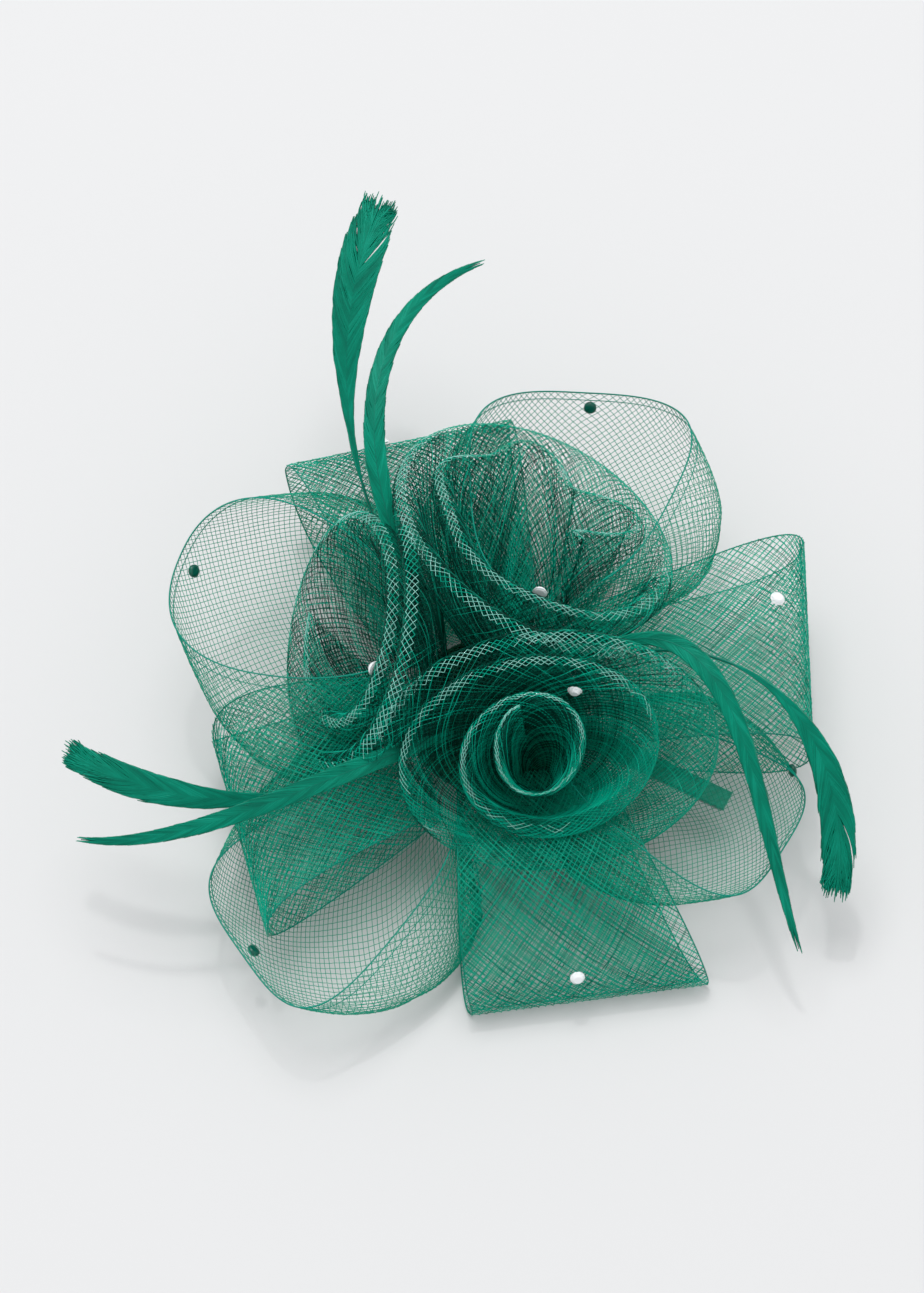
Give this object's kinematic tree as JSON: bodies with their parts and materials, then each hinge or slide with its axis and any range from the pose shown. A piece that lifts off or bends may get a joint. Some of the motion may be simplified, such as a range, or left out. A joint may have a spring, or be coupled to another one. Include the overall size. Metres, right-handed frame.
{
  "type": "fascinator headpiece",
  "caption": "Flower fascinator of rolled and looped green crin net with feathers and rhinestones on a small round base with a sprung hair clip.",
  "frame": {"origin": "centre of the underside of the felt backing, the face that lies against the hair", "axes": "+Z out of the flower, away from the head; +Y towards the upright feathers; +X towards the clip tip side"},
  "size_m": [0.2065, 0.2192, 0.0774],
  "materials": {
    "rolled_crin": "glossy tubular horsehair-braid net of emerald green monofilament",
    "crin_ribbon": "sheer flat horsehair-braid ribbon of emerald green monofilament",
    "feather": "dyed goose feather with a soft sheen",
    "rhinestone": "clear faceted stone with a silvered back",
    "stud": "small green dome",
    "felt": "green felt",
    "buckram": "stiffened open-weave buckram dyed green",
    "thread": "wound green sewing thread",
    "clip_steel": "pressed nickel-plated steel",
    "spring_steel": "spring wire",
    "satin_ribbon": "green grosgrain ribbon glued round the blade"
  },
  "bodies": {
    "flower": {"felt_backing": "felt", "buckram_disc": "buckram", "thread_binding": "thread", "rosette_left": "rolled_crin", "rosette_back": "rolled_crin", "rosette_front": "rolled_crin", "sheer_loop_back": "crin_ribbon", "sheer_loop_left": "crin_ribbon", "sheer_loop_front": "crin_ribbon", "sheer_loop_right": "crin_ribbon", "band_loop_right": "crin_ribbon", "band_loop_back": "crin_ribbon", "band_loop_left": "crin_ribbon", "band_loop_front": "crin_ribbon", "cut_feather_back": "feather", "cut_feather_left": "feather", "cut_feather_right": "feather", "curl_feather_back": "feather", "curl_feather_left": "feather", "curl_feather_right": "feather", "stone_rosette_left": "rhinestone", "stone_rosette_back": "rhinestone", "stone_rosette_front": "rhinestone", "stone_band_right": "rhinestone", "stone_band_back": "rhinestone", "stone_band_front": "rhinestone", "stud_loop_back": "stud", "stud_loop_left": "stud", "stud_loop_front": "stud", "stud_loop_right": "stud", "clip_top_blade": "clip_steel", "clip_pin": "clip_steel", "clip_spring": "spring_steel", "clip_ribbon": "satin_ribbon"},
    "jaw": {"clip_jaw": "clip_steel"}
  },
  "joints": [
    {"name": "clip_jaw_hinge", "type": "hinge", "parent": "flower", "child": "jaw", "pos_m": [0.0037, 0.006, -0.0036], "axis": [0.4695, 0.8829, 0], "range_deg": [0, 22], "stiffness_Nm_per_rad": 0.1, "springref_deg": -28.65}
  ]
}
